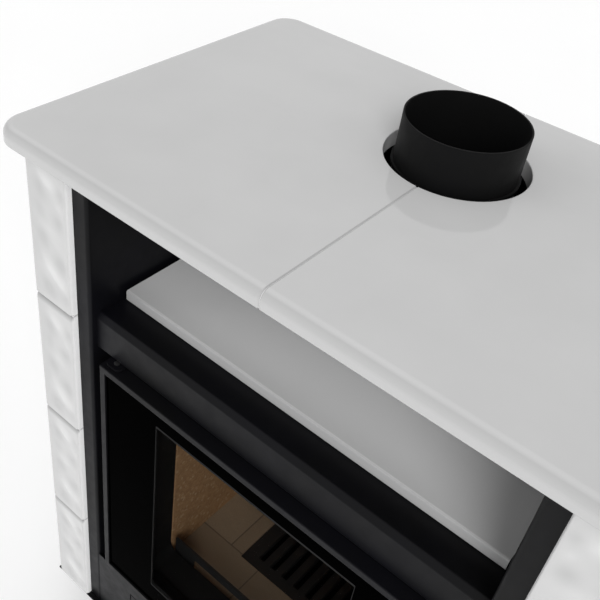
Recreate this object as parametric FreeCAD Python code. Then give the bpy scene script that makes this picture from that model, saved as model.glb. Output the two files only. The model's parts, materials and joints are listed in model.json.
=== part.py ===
import FreeCAD, Part
import math
import os

# Tiled wood stove. Millimetres, +Z up, front towards -Y, left and right as seen from the front.
# The origin is on the floor, under the middle of the top plates.

# Tiles
TILE_ROWS = 4
TILE_H = 220.0
TILE_SIDE = 220.0
TILE_RETURN = 81.0
TILE_T = 11.0
TILE_JOINT = 3.0
TILE_CORNER_R = 15.0
TILE_EDGE_R = 5.0
TILE_RIM = 14.0
TILE_HOLLOW = 4.0
TILE_TO_TOP = 9.5

# Top plates
TOP_T = 22.0
TOP_OVERHANG = 22.0
TOP_CORNER_R = 36.0
TOP_EDGE_R = 12.0
TOP_LOW_EDGE_R = 2.0
TOP_JOINT = 1.2
TOP_JOINT_CHAMFER = 1.0
FLUE_HOLE_GAP = 13.5
FLUE_HOLE_EDGE_R = 1.5

# Flue collar
FLUE_OD = 148.0
FLUE_WALL = 2.0
FLUE_RISE = 52.0
FLUE_SETBACK = 356.0
FLUE_BEAD = 3.0
FLUE_BEAD_H = 4.0
FLUE_BEAD_DROP = 8.0
FLUE_FLANGE = 21.0
FLUE_FLANGE_T = 4.0

# Casing
SHEET = 2.0
BEND_R = 3.0
DECK_T = 4.0
BASE_H = 79.5
BASE_PLATE_T = 3.0
BASE_LIP = 2.0
BASE_SETBACK = 40.0
BASE_GROUND_GAP = 20.0
REAR_STRIP = 51.0
CHEEK_SHOW = 25.5
VENT_COUNT = 12
VENT_ROWS = 2
VENT_W = 8.0
VENT_H = 60.0
VENT_PITCH = 40.0
VENT_DROP = 30.0

# Levelling feet
FOOT_R = 20.0
FOOT_H = 8.0
FOOT_CHAMFER = 2.0
STUD_R = 6.0
FOOT_INSET = 35.0

# Warming niche
NICHE_H = 218.0
NICHE_TO_FLUE = 20.0
LINTEL_H = 61.0
LINTEL_SLOPE_D = 6.0
LINTEL_SLOPE_H = 8.0
LINTEL_BEND_R = 1.0
LINTEL_RECESS = 10.5
LINTEL_RETURN = 14.0
SHELF_T = 17.0
SHELF_RECESS = 55.5
SHELF_PLAY = 7.0
SHELF_EDGE_R = 3.0

# Door
DOOR_W = 526.0
DOOR_PROUD = 6.0
DOOR_GAP = 5.0
DOOR_SIDE_GAP = 22.0
RIM_W = 10.0
RIM_LATCH_W = 36.0
RIM_LIP_T = 3.0
RIM_DEPTH = 22.5
RIM_EDGE_R = 1.5
GLASS_T = 4.0
GLASS_LAP = 6.0
TAPE_T = 2.0
TAPE_W = 12.0
PANEL_T = 3.0
WINDOW_W = 314.0
WINDOW_TOP = 39.0
WINDOW_BOTTOM = 60.0
WINDOW_STEP = 4.0
WINDOW_R = 6.0
ROPE_W = 12.8
ROPE_R = 5.0
CHANNEL_D = 14.0
SEAL_SIDE = 73.0
SEAL_TOP = 24.0
SEAL_BOTTOM = 44.0
SEAL_R = 18.0

# Hinge
PIN_R = 4.0
PIN_DEPTH = 16.0
PIN_COLLAR_R = 7.0
PIN_NOTCH_R = 9.0
HINGE_INSET = 17.0
HINGE_SETBACK = 16.0
HINGE_BLOCK_W = 24.0
HINGE_BLOCK_D = 12.0
HINGE_BLOCK_H = 30.0
TONGUE_T = 3.0
TONGUE_W = 28.0
TONGUE_NOSE = 10.0
FLANGE_T = 4.0
FLANGE_H = 30.0

# Latch
SHAFT_R = 5.0
BOSS_R = 10.0
LEVER_L = 130.0
LEVER_T = 9.0
LEVER_HUB_R = 11.0
LEVER_TIP_R = 7.0
LEVER_STAND_OFF = 11.0
LEVER_CHAMFER = 2.0
HOOK_L = 28.0
HOOK_T = 5.0
HOOK_HUB_R = 10.0
HOOK_TIP_R = 5.0
HOOK_LAP = 2.3
KEEPER_T = 4.0
KEEPER_GAP = 3.0
KEEPER_H = 50.0
KEEPER_DROP = 20.0

# Fire box
FIRE_FRONT_T = 5.0
FIRE_PLATE = 4.0
FIRE_ROOF_GAP = 8.0
FIRE_BACK_MARGIN = 20.0
THROAT_T = 4.0
THROAT_OUT = 14.0
THROAT_IN = 28.0
LINING_T = 30.0
LINING_CHAMFER = 3.0
BAFFLE_T = 25.0
BAFFLE_DROP = 105.0
BAFFLE_THROAT = 90.0
HEARTH_T = 30.0
GRATE_W = 200.0
GRATE_D = 180.0
GRATE_T = 12.0
GRATE_LEDGE = 10.0
GRATE_SLOTS = 7
GRATE_SLOT_W = 11.0
GRATE_SLOT_MARGIN = 18.0
GRATE_SLOT_PITCH = 24.0
RETAINER_H = 46.0
RETAINER_LEG = 40.0
RETAINER_RAIL = 16.0
RETAINER_INSET = 8.0
STAND_INSET = 20.0
STAND_FRONT = 45.0
STAND_BACK = 30.0
STAND_FLANGE = 18.0

# Ash drawer and air controls
LOWER_H = 145.5
AIR_BAND = 33.0
DRAWER_GAP = 2.0
DRAWER_LAP = 8.0
DRAWER_SILL = 10.0
DRAWER_BEHIND = 12.0
DRAWER_HEADROOM = 12.0
RUNNER_LIFT = 13.5
RUNNER_W = 16.0
PULL_W = 120.0
PULL_R = 5.0
PULL_POST_R = 4.0
PULL_POST_INSET = 12.0
PULL_OUT = 20.0
AIR_BOX_END = 47.0
AIR_BOX_H = 28.0
AIR_BOX_LAP = 35.0
AIR_PORT_W = 56.0
AIR_PORT_H = 10.0
AIR_OUTLET_EDGE = 6.0
SLIDE_LAP = 16.0
SLIDE_H = 20.0
SLIDE_GAP = 2.0
SLIDE_TRAVEL = 30.0
SLIDE_DROP = 15.0
STEM_R = 3.0
KNOB_R = 9.0
KNOB_T = 12.0
KNOB_STAND_OFF = 4.0
KNOB_CHAMFER = 2.0

# Air spigot
SPIGOT_OD = 100.0
SPIGOT_WALL = 2.0
SPIGOT_FLANGE = 15.0
SPIGOT_RISE = 70.0

# Clearances
PLAY = 0.3
RUN = 0.05
CLEAR = 1.0

# Half widths, worked out from the middle
DOOR_X = DOOR_W / 2
NICHE_X = DOOR_X + DOOR_SIDE_GAP
TILE_X = NICHE_X + CHEEK_SHOW + TILE_RETURN
PANEL_X = TILE_X - TILE_T
TOP_X = TILE_X + TOP_OVERHANG
WINDOW_X = WINDOW_W / 2
SEAL_X = DOOR_X - SEAL_SIDE
OPENING_X = SEAL_X - THROAT_T / 2
FIRE_IN_X = OPENING_X + LINING_T
FIRE_OUT_X = FIRE_IN_X + FIRE_PLATE
STAND_X = FIRE_OUT_X - STAND_INSET
DRAWER_X = STAND_X - SHEET - DRAWER_GAP
HINGE_X = -DOOR_X + HINGE_INSET
LATCH_X = DOOR_X - RIM_LATCH_W / 2
SLIDE_W = AIR_PORT_W + 2 * SLIDE_LAP
SLIDE_X = SLIDE_W / 2 + SLIDE_TRAVEL + SLIDE_GAP / 2
AIR_BOX_X = SLIDE_X + AIR_PORT_W / 2 + AIR_BOX_END

# Depths, worked out from the front edge of the top
TOP_D = 2 * (TOP_OVERHANG + TILE_SIDE + TILE_JOINT) + REAR_STRIP
FRONT = -TOP_D / 2
TILE_Y = FRONT + TOP_OVERHANG
CHEEK_Y = TILE_Y + TILE_T
CHEEK_BACK = CHEEK_Y + SHEET
BODY_BACK = -FRONT - TOP_OVERHANG
LINTEL_Y = CHEEK_Y + LINTEL_RECESS
SHELF_Y = CHEEK_Y + SHELF_RECESS
FLUE_Y = FRONT + FLUE_SETBACK
FLUE_R = FLUE_OD / 2
FLUE_HOLE_R = FLUE_R + FLUE_HOLE_GAP
NICHE_BACK_Y = FLUE_Y - FLUE_R - NICHE_TO_FLUE
DOOR_Y = CHEEK_Y - DOOR_PROUD
RIM_BACK = DOOR_Y + RIM_DEPTH
GLASS_Y = DOOR_Y + RIM_LIP_T + PLAY
TAPE_Y = GLASS_Y + GLASS_T
PANEL_Y = TAPE_Y + TAPE_T
PANEL_BACK = PANEL_Y + PANEL_T
HINGE_Y = DOOR_Y + HINGE_SETBACK
DOOR_SWING = math.hypot(HINGE_INSET, HINGE_SETBACK)
FIRE_Y = HINGE_Y + DOOR_SWING + FLANGE_T
FIRE_IN_Y = FIRE_Y + FIRE_FRONT_T
THROAT_Y = FIRE_Y - THROAT_OUT
LINING_Y = FIRE_IN_Y + THROAT_IN
FIRE_BACK_IN = FLUE_Y + FLUE_R + FLUE_FLANGE + FIRE_BACK_MARGIN
FIRE_BACK_OUT = FIRE_BACK_IN + FIRE_PLATE
HOOK_Y = RIM_BACK + CLEAR
SLIDE_Y = CHEEK_BACK + PLAY
AIR_BOX_Y = SLIDE_Y + SHEET + PLAY

# Heights, worked out from the floor
PLATE_LOW = BASE_H + TILE_ROWS * (TILE_H + TILE_JOINT) - TILE_JOINT + TILE_TO_TOP
TOP_H = PLATE_LOW + TOP_T
DECK_LOW = PLATE_LOW - DECK_T
NICHE_FLOOR = PLATE_LOW - NICHE_H
LINTEL_LOW = NICHE_FLOOR - LINTEL_H
DOOR_TOP = LINTEL_LOW - DOOR_GAP
LOWER_TOP = BASE_H + LOWER_H
DOOR_LOW = LOWER_TOP + DOOR_GAP
FIRE_TOP = NICHE_FLOOR - SHEET - FIRE_ROOF_GAP
FIRE_ROOF_LOW = FIRE_TOP - FIRE_PLATE
FIRE_FLOOR = LOWER_TOP + FIRE_PLATE
HEARTH_TOP = FIRE_FLOOR + HEARTH_T
LINING_TOP = FIRE_ROOF_LOW - BAFFLE_DROP
OPENING_TOP = DOOR_TOP - SEAL_TOP - THROAT_T / 2
OPENING_LOW = DOOR_LOW + SEAL_BOTTOM + THROAT_T / 2
UPPER_TONGUE = DOOR_TOP + CLEAR
LOWER_TONGUE = DOOR_LOW - CLEAR - TONGUE_T
LATCH_Z = (DOOR_TOP + DOOR_LOW) / 2
RUNNER_Z = BASE_H + RUNNER_LIFT
DRAWER_LOW = RUNNER_Z + PLAY
DRAWER_FRONT_TOP = LOWER_TOP - AIR_BAND
SLIDE_Z = LOWER_TOP - SLIDE_DROP
SPIGOT_Z = BASE_H + SPIGOT_RISE

X_AXIS = FreeCAD.Vector(1, 0, 0)
Y_AXIS = FreeCAD.Vector(0, 1, 0)
Z_AXIS = FreeCAD.Vector(0, 0, 1)
ORIGIN = FreeCAD.Vector(0, 0, 0)
TOUCH = 1e-4


# Helpers
def point(x, y, z):
    return FreeCAD.Vector(x, y, z)


def both(half):
    """Limits at equal distances on both sides of the middle."""
    return (-half, half)


def grown(limits, by):
    """Limits moved outwards, or inwards if the step is negative."""
    return (limits[0] - by, limits[1] + by)


def block(x, y, z):
    """Box between a low and a high limit on each axis."""
    return Part.makeBox(x[1] - x[0], y[1] - y[0], z[1] - z[0], point(x[0], y[0], z[0]))


def mirrored(shape):
    """The same piece on the other side of the stove."""
    return shape.mirror(ORIGIN, X_AXIS)


def straight_along(edge, axis):
    """True for a straight edge along an axis."""
    if not isinstance(edge.Curve, Part.Line):
        return False
    return abs(abs(edge.Curve.Direction.dot(axis)) - 1) < TOUCH


def ends_pass(edge, test):
    """True where both ends of an edge pass a test."""
    return all(test(vertex.Point) for vertex in edge.Vertexes)


def rounded_block(x, y, z, radius, axis):
    """Box whose four edges along an axis are rounded."""
    body = block(x, y, z)
    return body.makeFillet(radius, [e for e in body.Edges if straight_along(e, axis)])


def ring(x, y, z, width, radius):
    """Upright frame round an opening. The limits and the corner radius are the opening's."""
    outer = rounded_block(grown(x, width), y, grown(z, width), radius + width, Y_AXIS)
    return outer.cut(rounded_block(x, y, z, radius, Y_AXIS))


def offset_left(line, distance):
    """Line of points moved to its left, corner to corner."""
    moved = []
    for i, here in enumerate(line):
        normals = []
        for start, end in zip(line[max(i - 1, 0):i + 1], line[max(i, 1):i + 2]):
            length = math.hypot(end[0] - start[0], end[1] - start[1])
            normals.append(((start[1] - end[1]) / length, (end[0] - start[0]) / length))
        first = normals[0]
        last = normals[-1]
        step = distance / (1 + first[0] * last[0] + first[1] * last[1])
        moved.append((here[0] + step * (first[0] + last[0]), here[1] + step * (first[1] + last[1])))
    return moved


def folded_sheet(line, bends, place, sweep):
    """Sheet with its outer face on a line and its thickness to the left, bent at each corner."""
    inner = offset_left(line, SHEET)
    outline = [place(*p) for p in line + inner[::-1]]
    solid = Part.Face(Part.makePolygon(outline + outline[:1])).extrude(sweep)
    way = FreeCAD.Vector(sweep).normalize()
    for corner, corner_inside, bend in zip(line[1:-1], inner[1:-1], bends):
        for place_2d, radius in ((corner, bend + SHEET), (corner_inside, bend)):
            foot = place(*place_2d)
            found = [e for e in solid.Edges if straight_along(e, way)
                     and foot.distanceToLine(e.Vertexes[0].Point, way) < TOUCH]
            solid = solid.makeFillet(radius, found)
    return solid


def tapered_bar(reach, hub_r, tip_r, y):
    """Flat bar from a hub on the latch axis to a smaller round tip, up or down by its reach."""
    depth = y[1] - y[0]
    hub = Part.makeCylinder(hub_r, depth, point(LATCH_X, y[0], LATCH_Z), Y_AXIS)
    tip = Part.makeCylinder(tip_r, depth, point(LATCH_X, y[0], LATCH_Z + reach), Y_AXIS)
    sine = (hub_r - tip_r) / reach
    cosine = math.sqrt(1 - sine * sine)
    corners = []
    for side, radius, height in ((1, hub_r, 0), (1, tip_r, reach), (-1, tip_r, reach), (-1, hub_r, 0)):
        corners.append(point(LATCH_X + side * radius * cosine, y[0], LATCH_Z + height + radius * sine))
    web = Part.Face(Part.makePolygon(corners + corners[:1])).extrude(Y_AXIS * depth)
    return hub.fuse([tip, web]).removeSplitter()


def slots(y, z_high, half_span):
    """Row of upright vents with round ends, as many as fit the span."""
    cuts = []
    for i in range(VENT_COUNT):
        x = (i - (VENT_COUNT - 1) / 2) * VENT_PITCH
        if abs(x) > half_span - VENT_PITCH / 2:
            continue
        z = (z_high - VENT_H + VENT_W / 2, z_high - VENT_W / 2)
        cut = block((x - VENT_W / 2, x + VENT_W / 2), y, z)
        ends = [Part.makeCylinder(VENT_W / 2, y[1] - y[0], point(x, y[0], end), Y_AXIS) for end in z]
        cuts.append(cut.fuse(ends))
    return cuts


# Top plates and shelf
def top_plate():
    """Left half of the glazed top, with its share of the flue hole."""
    slab = block(both(TOP_X), both(TOP_D / 2), (PLATE_LOW, TOP_H))
    slab = slab.makeFillet(TOP_CORNER_R, [e for e in slab.Edges if straight_along(e, Z_AXIS)])
    slab = slab.makeFillet(TOP_EDGE_R, [e for e in slab.Edges if ends_pass(e, lambda p: p.z > TOP_H - TOUCH)])
    low = [e for e in slab.Edges if ends_pass(e, lambda p: p.z < PLATE_LOW + TOUCH)]
    slab = slab.makeFillet(TOP_LOW_EDGE_R, low)
    slab = slab.cut(Part.makeCylinder(FLUE_HOLE_R, TOP_T, point(0, FLUE_Y, PLATE_LOW)))
    mouth = [e for e in slab.Edges if isinstance(e.Curve, Part.Circle)
             and abs(e.Curve.Radius - FLUE_HOLE_R) < TOUCH and e.BoundBox.ZMin > TOP_H - TOUCH]
    slab = slab.makeFillet(FLUE_HOLE_EDGE_R, mouth)
    left = slab.common(block((-TOP_X, -TOP_JOINT / 2), both(TOP_D), (0, TOP_H)))
    seam = [e for e in left.Edges if straight_along(e, Y_AXIS)
            and ends_pass(e, lambda p: p.x > -TOP_JOINT / 2 - TOUCH and p.z > TOP_H - TOUCH)]
    return left.makeChamfer(TOP_JOINT_CHAMFER, seam)


def niche_shelf():
    x = both(NICHE_X - SHELF_PLAY)
    shelf = block(x, (SHELF_Y, NICHE_BACK_Y), (NICHE_FLOOR, NICHE_FLOOR + SHELF_T))
    front = [e for e in shelf.Edges if straight_along(e, X_AXIS)
             and ends_pass(e, lambda p: p.y < SHELF_Y + TOUCH)]
    return shelf.makeFillet(SHELF_EDGE_R, front)


# Tiles of the left side
def tile_heights(row):
    """Lower and upper limits of a row, counted from the top."""
    low = BASE_H + (TILE_ROWS - row) * (TILE_H + TILE_JOINT)
    return (low, low + TILE_H)


def hollow(limits):
    """Limits of the hollow in a tile's back, inside its rim."""
    return grown(limits, -TILE_RIM)


def corner_tile(row):
    """L-shaped tile: the long leg runs back along the side, the short one across the front."""
    z = tile_heights(row)
    side_y = (TILE_Y, TILE_Y + TILE_SIDE)
    front_x = (-TILE_X, -TILE_X + TILE_RETURN)
    back_x = -TILE_X + TILE_T
    back_y = TILE_Y + TILE_T
    tile = block(front_x, side_y, z).cut(block((back_x, front_x[1]), (back_y, side_y[1]), z))

    def on_side(p):
        return p.x < -TILE_X + TOUCH

    def on_front(p):
        return p.y < TILE_Y + TOUCH

    corner = [e for e in tile.Edges if ends_pass(e, lambda p: on_side(p) and on_front(p))]
    tile = tile.makeFillet(TILE_CORNER_R, corner)
    ends = (side_y[1] - TOUCH, front_x[1] - TOUCH)
    upright = [e for e in tile.Edges if straight_along(e, Z_AXIS)
               and ends_pass(e, lambda p: (on_side(p) and p.y > ends[0]) or (on_front(p) and p.x > ends[1]))]
    level = [e for e in tile.Edges if not straight_along(e, Z_AXIS)
             and ends_pass(e, lambda p: on_side(p) or on_front(p))]
    tile = tile.makeFillet(TILE_EDGE_R, upright + level)
    side_hollow = block((back_x - TILE_HOLLOW, back_x), hollow((back_y, side_y[1])), hollow(z))
    front_hollow = block(hollow((back_x, front_x[1])), (back_y - TILE_HOLLOW, back_y), hollow(z))
    return tile.cut([side_hollow, front_hollow])


def side_tile(row):
    """Flat tile behind the corner tile."""
    z = tile_heights(row)
    start = TILE_Y + TILE_SIDE + TILE_JOINT
    y = (start, start + TILE_SIDE)
    back_x = -TILE_X + TILE_T
    tile = block((-TILE_X, back_x), y, z)
    face = [e for e in tile.Edges if ends_pass(e, lambda p: p.x < -TILE_X + TOUCH)]
    tile = tile.makeFillet(TILE_EDGE_R, face)
    return tile.cut(block((back_x - TILE_HOLLOW, back_x), hollow(y), hollow(z)))


# Casing
def base_frame():
    """Plate that the tiles stand on, over a skirt that is set back like a plinth."""
    plate = block(both(TILE_X - BASE_LIP), (TILE_Y + BASE_LIP, BODY_BACK), (BASE_H - BASE_PLATE_T, BASE_H))
    x = both(TILE_X - BASE_SETBACK)
    y = (TILE_Y + BASE_SETBACK, BODY_BACK - BASE_LIP)
    z = (BASE_GROUND_GAP, BASE_H - BASE_PLATE_T)
    skirt = block(x, y, z).cut(block(grown(x, -SHEET), grown(y, -SHEET), z))
    return plate.fuse(skirt).removeSplitter()


def levelling_feet():
    feet = []
    for x in both(TILE_X - BASE_SETBACK - FOOT_INSET):
        for y in (TILE_Y + BASE_SETBACK + FOOT_INSET, BODY_BACK - BASE_LIP - FOOT_INSET):
            pad = Part.makeCylinder(FOOT_R, FOOT_H, point(x, y, 0))
            rim = [e for e in pad.Edges if e.BoundBox.ZMin > FOOT_H - TOUCH]
            pad = pad.makeChamfer(FOOT_CHAMFER, rim)
            stud = Part.makeCylinder(STUD_R, BASE_H - BASE_PLATE_T - FOOT_H, point(x, y, FOOT_H))
            feet.append(pad.fuse(stud))
    return Part.makeCompound(feet)


def side_panel():
    return block((-PANEL_X, -PANEL_X + SHEET), (CHEEK_BACK, BODY_BACK - SHEET), (BASE_H, DECK_LOW))


def back_panel():
    """Folded sheet: the vented back, with a strip turned forward on each side behind the tiles."""
    front = BODY_BACK - REAR_STRIP
    line = [(TILE_X, front), (TILE_X, BODY_BACK), (-TILE_X, BODY_BACK), (-TILE_X, front)]
    rise = Z_AXIS * (DECK_LOW - BASE_H)
    panel = folded_sheet(line, [BEND_R, BEND_R], lambda x, y: point(x, y, BASE_H), rise)
    y = (BODY_BACK - SHEET, BODY_BACK)
    cuts = []
    for row in range(VENT_ROWS):
        cuts += slots(y, DECK_LOW - VENT_DROP - row * (VENT_H + VENT_DROP), PANEL_X)
    cuts.append(Part.makeCylinder(SPIGOT_OD / 2 - SPIGOT_WALL, SHEET, point(0, y[0], SPIGOT_Z), Y_AXIS))
    return panel.cut(cuts)


def air_spigot():
    start = point(0, BODY_BACK, SPIGOT_Z)
    tube = Part.makeCylinder(SPIGOT_OD / 2, TOP_OVERHANG, start, Y_AXIS)
    flange = Part.makeCylinder(SPIGOT_OD / 2 + SPIGOT_FLANGE, SHEET, start, Y_AXIS)
    bore = Part.makeCylinder(SPIGOT_OD / 2 - SPIGOT_WALL, TOP_OVERHANG, start, Y_AXIS)
    return tube.fuse(flange).cut(bore).removeSplitter()


def top_deck():
    deck = block(both(PANEL_X), (CHEEK_Y, BODY_BACK), (DECK_LOW, PLATE_LOW))
    return deck.cut(Part.makeCylinder(FLUE_HOLE_R, DECK_T, point(0, FLUE_Y, DECK_LOW)))


def cheek():
    """Left post beside the niche and the door: a front strip and a wall that turns back."""
    line = [(-PANEL_X, CHEEK_Y), (-NICHE_X, CHEEK_Y), (-NICHE_X, NICHE_BACK_Y + SHEET)]
    post = folded_sheet(line, [BEND_R], lambda x, y: point(x, y, BASE_H), Z_AXIS * (DECK_LOW - BASE_H))
    return post.cut(block((-PANEL_X, 0), (FIRE_IN_Y, BODY_BACK), (BASE_H, NICHE_FLOOR - SHEET)))


def lintel():
    """Folded sheet over the door, with a sloped top edge. Its flange runs back as the niche's floor."""
    line = [(NICHE_BACK_Y, NICHE_FLOOR), (LINTEL_Y + LINTEL_SLOPE_D, NICHE_FLOOR),
            (LINTEL_Y, NICHE_FLOOR - LINTEL_SLOPE_H), (LINTEL_Y, LINTEL_LOW),
            (LINTEL_Y + LINTEL_RETURN, LINTEL_LOW)]
    bends = [LINTEL_BEND_R, LINTEL_BEND_R, BEND_R]
    return folded_sheet(line, bends, lambda y, z: point(-NICHE_X, y, z), X_AXIS * 2 * NICHE_X)


def niche_back():
    y = (NICHE_BACK_Y, NICHE_BACK_Y + SHEET)
    sheet = block(both(NICHE_X), y, (NICHE_FLOOR - SHEET, DECK_LOW))
    return sheet.cut(slots(y, DECK_LOW - VENT_DROP, NICHE_X))


def drawer_front_limits():
    return both(DRAWER_X + DRAWER_LAP), (BASE_H + DRAWER_SILL, DRAWER_FRONT_TOP)


def slide_centres():
    return both(SLIDE_X)


def lower_panel():
    """Front sheet under the door, open for the ash drawer and the two air knobs."""
    y = (CHEEK_Y, CHEEK_BACK)
    panel = block(both(NICHE_X), y, (BASE_H, LOWER_TOP))
    x, z = drawer_front_limits()
    cuts = [block(grown(x, DRAWER_GAP), y, grown(z, DRAWER_GAP))]
    half_h = STEM_R + CLEAR
    half_w = half_h + SLIDE_TRAVEL
    for middle in slide_centres():
        cuts.append(block((middle - half_w, middle + half_w), y, (SLIDE_Z - half_h, SLIDE_Z + half_h)))
    return panel.cut(cuts)


# Fire box
def firebox_front():
    """Plate behind the door, with a sleeve round the mouth that the door's rope closes on."""
    x = both(OPENING_X)
    z = (OPENING_LOW, OPENING_TOP)
    radius = SEAL_R - THROAT_T / 2
    plate = block(both(NICHE_X), (FIRE_Y, FIRE_IN_Y), (LOWER_TOP, NICHE_FLOOR - SHEET))
    plate = plate.cut(rounded_block(x, (FIRE_Y, FIRE_IN_Y), z, radius, Y_AXIS))
    return plate.fuse(ring(x, (THROAT_Y, LINING_Y), z, THROAT_T, radius)).removeSplitter()


def firebox_side():
    return block((-FIRE_OUT_X, -FIRE_IN_X), (FIRE_IN_Y, FIRE_BACK_OUT), (FIRE_FLOOR, FIRE_ROOF_LOW))


def firebox_back():
    return block(both(FIRE_IN_X), (FIRE_BACK_IN, FIRE_BACK_OUT), (FIRE_FLOOR, FIRE_ROOF_LOW))


def firebox_roof():
    roof = block(both(FIRE_OUT_X), (FIRE_IN_Y, FIRE_BACK_OUT), (FIRE_ROOF_LOW, FIRE_TOP))
    return roof.cut(Part.makeCylinder(FLUE_R - FLUE_WALL, FIRE_PLATE, point(0, FLUE_Y, FIRE_ROOF_LOW)))


def grate_limits():
    """Limits of the grate, in the middle of the hearth."""
    middle = (LINING_Y + FIRE_BACK_IN - LINING_T) / 2
    return both(GRATE_W / 2), (middle - GRATE_D / 2, middle + GRATE_D / 2)


def air_outlets(z):
    """Holes where air rises from the duct into the fire box, in front of the bricks."""
    y = grown((FIRE_IN_Y, LINING_Y), -AIR_OUTLET_EDGE)
    return [block((middle - AIR_PORT_W / 2, middle + AIR_PORT_W / 2), y, z) for middle in slide_centres()]


def firebox_floor():
    x, y = grate_limits()
    z = (LOWER_TOP, FIRE_FLOOR)
    floor = block(both(FIRE_OUT_X), (FIRE_IN_Y, FIRE_BACK_OUT), z)
    ash_hole = block(grown(x, -2 * GRATE_LEDGE), grown(y, -2 * GRATE_LEDGE), z)
    return floor.cut([ash_hole] + air_outlets(z))


def hearth_bricks():
    """Brick floor with a stepped hole that the grate lies in."""
    x, y = grate_limits()
    bricks = block(both(OPENING_X), (LINING_Y, FIRE_BACK_IN - LINING_T), (FIRE_FLOOR, HEARTH_TOP))
    seat = block(grown(x, CLEAR), grown(y, CLEAR), (HEARTH_TOP - GRATE_T, HEARTH_TOP))
    return bricks.cut([seat, block(grown(x, -GRATE_LEDGE), grown(y, -GRATE_LEDGE), (FIRE_FLOOR, HEARTH_TOP))])


def grate():
    x, y = grate_limits()
    z = (HEARTH_TOP - GRATE_T, HEARTH_TOP)
    bars = block(x, y, z)
    cuts = []
    for i in range(GRATE_SLOTS):
        middle = (i - (GRATE_SLOTS - 1) / 2) * GRATE_SLOT_PITCH
        slot_x = (middle - GRATE_SLOT_W / 2, middle + GRATE_SLOT_W / 2)
        cuts.append(block(slot_x, grown(y, -GRATE_SLOT_MARGIN), z))
    return bars.cut(cuts)


def lining_side():
    y = (LINING_Y, FIRE_BACK_IN)
    board = block((-FIRE_IN_X, -OPENING_X), y, (FIRE_FLOOR, LINING_TOP))
    front = [e for e in board.Edges if straight_along(e, Z_AXIS)
             and ends_pass(e, lambda p: p.x > -OPENING_X - TOUCH and p.y < LINING_Y + TOUCH)]
    return board.makeChamfer(LINING_CHAMFER, front)


def lining_back():
    return block(both(OPENING_X), (FIRE_BACK_IN - LINING_T, FIRE_BACK_IN), (FIRE_FLOOR, LINING_TOP))


def baffle():
    """Board laid on the linings. Smoke passes in front of it."""
    y = (FIRE_IN_Y + BAFFLE_THROAT, FIRE_BACK_IN)
    board = block(both(FIRE_IN_X), y, (LINING_TOP, LINING_TOP + BAFFLE_T))
    front = [e for e in board.Edges if straight_along(e, X_AXIS)
             and ends_pass(e, lambda p: p.y < y[0] + TOUCH)]
    return board.makeChamfer(LINING_CHAMFER, front)


def log_retainer():
    """Low rail on two legs that keeps logs off the glass."""
    x = both(OPENING_X - RETAINER_INSET)
    y = (LINING_Y + LINING_CHAMFER, LINING_Y + LINING_CHAMFER + FIRE_PLATE)
    rail = block(x, y, (HEARTH_TOP, HEARTH_TOP + RETAINER_H))
    gap_z = (HEARTH_TOP - RETAINER_H, HEARTH_TOP + RETAINER_H - RETAINER_RAIL)
    return rail.cut(rounded_block(grown(x, -RETAINER_LEG), y, gap_z, RETAINER_RAIL / 2, Y_AXIS))


def firebox_stand():
    """Two legs under the fire box. An angle on each carries the ash drawer."""
    y = (FIRE_IN_Y + STAND_FRONT, FIRE_BACK_OUT - STAND_BACK)
    leg = block((-STAND_X, -STAND_X + SHEET), y, (BASE_H, LOWER_TOP))
    head = block((-STAND_X - STAND_FLANGE, -STAND_X), y, (LOWER_TOP - SHEET, LOWER_TOP))
    runner = block((-STAND_X + SHEET, -STAND_X + SHEET + RUNNER_W), y, (RUNNER_Z - SHEET, RUNNER_Z))
    leg = leg.fuse([head, runner]).removeSplitter()
    return Part.makeCompound([leg, mirrored(leg)])


def flue_collar():
    """Turned profile: a flange on the fire box roof, a long tube and a bead that stops the flue pipe."""
    bead = TOP_H - FLUE_BEAD_DROP
    profile = [(FLUE_R - FLUE_WALL, FIRE_TOP), (FLUE_R + FLUE_FLANGE, FIRE_TOP),
               (FLUE_R + FLUE_FLANGE, FIRE_TOP + FLUE_FLANGE_T), (FLUE_R, FIRE_TOP + FLUE_FLANGE_T),
               (FLUE_R, bead - FLUE_BEAD_H), (FLUE_R + FLUE_BEAD, bead - FLUE_BEAD_H),
               (FLUE_R + FLUE_BEAD, bead), (FLUE_R, bead),
               (FLUE_R, TOP_H + FLUE_RISE), (FLUE_R - FLUE_WALL, TOP_H + FLUE_RISE)]
    corners = [point(r, FLUE_Y, z) for r, z in profile]
    return Part.Face(Part.makePolygon(corners + corners[:1])).revolve(point(0, FLUE_Y, 0), Z_AXIS, 360)


# Door
def door_rim():
    """Cover frame whose lip holds the glass, wider on the latch side."""
    depth = (DOOR_Y, RIM_BACK)
    z = (DOOR_LOW, DOOR_TOP)
    rim = block(both(DOOR_X), depth, z)
    front = [e for e in rim.Edges if ends_pass(e, lambda p: p.y < DOOR_Y + TOUCH)]
    rim = rim.makeFillet(RIM_EDGE_R, front)
    sight = block((-DOOR_X + RIM_W, DOOR_X - RIM_LATCH_W), depth, grown(z, -RIM_W))
    pocket = block(both(DOOR_X - SHEET), (DOOR_Y + RIM_LIP_T, RIM_BACK), grown(z, -SHEET))
    notch = Part.makeCylinder(PIN_NOTCH_R, DOOR_TOP - DOOR_LOW, point(HINGE_X, HINGE_Y, DOOR_LOW))
    shaft = Part.makeCylinder(SHAFT_R + CLEAR, RIM_DEPTH, point(LATCH_X, DOOR_Y, LATCH_Z), Y_AXIS)
    return rim.cut([sight, pocket, notch, shaft])


def window_limits(grow):
    return grown(both(WINDOW_X), grow), grown((DOOR_LOW + WINDOW_BOTTOM, DOOR_TOP - WINDOW_TOP), grow)


def door_glass():
    x = (-DOOR_X + RIM_W - GLASS_LAP, DOOR_X - RIM_LATCH_W + GLASS_LAP)
    return block(x, (GLASS_Y, TAPE_Y), grown((DOOR_LOW, DOOR_TOP), GLASS_LAP - RIM_W))


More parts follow.
